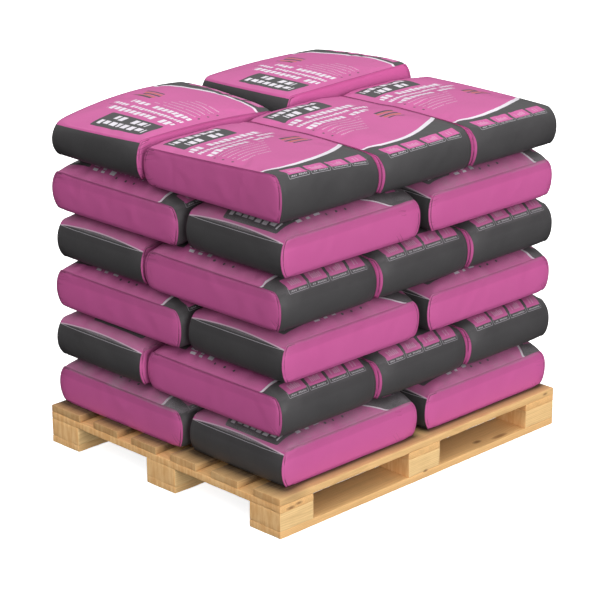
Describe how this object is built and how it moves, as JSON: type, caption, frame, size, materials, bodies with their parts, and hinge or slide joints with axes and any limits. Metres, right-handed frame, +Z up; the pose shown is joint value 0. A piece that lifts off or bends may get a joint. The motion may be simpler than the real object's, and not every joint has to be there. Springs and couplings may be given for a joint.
{
  "type": "pallet of sacks",
  "caption": "Block pallet loaded with cross-bonded layers of filled sacks that lie flat, their long gusseted sides and dark ends showing alternately.",
  "frame": {"origin": "centre of the pallet's footprint, on the floor", "axes": "+X along the pallet's long side, +Y along its short side, +Z up; the long side at -Y is the one with a row of sack ends on its even layers"},
  "size_m": [1.221, 1.017, 1.0637],
  "materials": {
    "sack_film": "matt printed film, pink with dark grey ends",
    "deck_pine": "sawn pine, pale",
    "stringer_pine": "sawn pine, pale",
    "block_pine": "sawn pine, pale",
    "bottom_pine": "sawn pine, pale"
  },
  "bodies": {
    "root": {"bottom_board_1": "bottom_pine", "bottom_board_2": "bottom_pine", "bottom_board_3": "bottom_pine", "block_1": "block_pine", "block_2": "block_pine", "block_3": "block_pine", "block_4": "block_pine", "block_5": "block_pine", "block_6": "block_pine", "block_7": "block_pine", "block_8": "block_pine", "block_9": "block_pine", "stringer_1": "stringer_pine", "stringer_2": "stringer_pine", "stringer_3": "stringer_pine", "deck_board_1": "deck_pine", "deck_board_2": "deck_pine", "deck_board_3": "deck_pine", "deck_board_4": "deck_pine", "deck_board_5": "deck_pine", "deck_board_6": "deck_pine", "sack_layer1_1": "sack_film", "sack_layer1_2": "sack_film", "sack_layer1_3": "sack_film", "sack_layer1_4": "sack_film", "sack_layer1_5": "sack_film", "sack_layer2_1": "sack_film", "sack_layer2_2": "sack_film", "sack_layer2_3": "sack_film", "sack_layer2_4": "sack_film", "sack_layer2_5": "sack_film", "sack_layer3_1": "sack_film", "sack_layer3_2": "sack_film", "sack_layer3_3": "sack_film", "sack_layer3_4": "sack_film", "sack_layer3_5": "sack_film", "sack_layer4_1": "sack_film", "sack_layer4_2": "sack_film", "sack_layer4_3": "sack_film", "sack_layer4_4": "sack_film", "sack_layer4_5": "sack_film", "sack_layer5_1": "sack_film", "sack_layer5_2": "sack_film", "sack_layer5_3": "sack_film", "sack_layer5_4": "sack_film", "sack_layer5_5": "sack_film", "sack_layer6_1": "sack_film", "sack_layer6_2": "sack_film", "sack_layer6_3": "sack_film", "sack_layer6_4": "sack_film", "sack_layer6_5": "sack_film"}
  },
  "joints": []
}
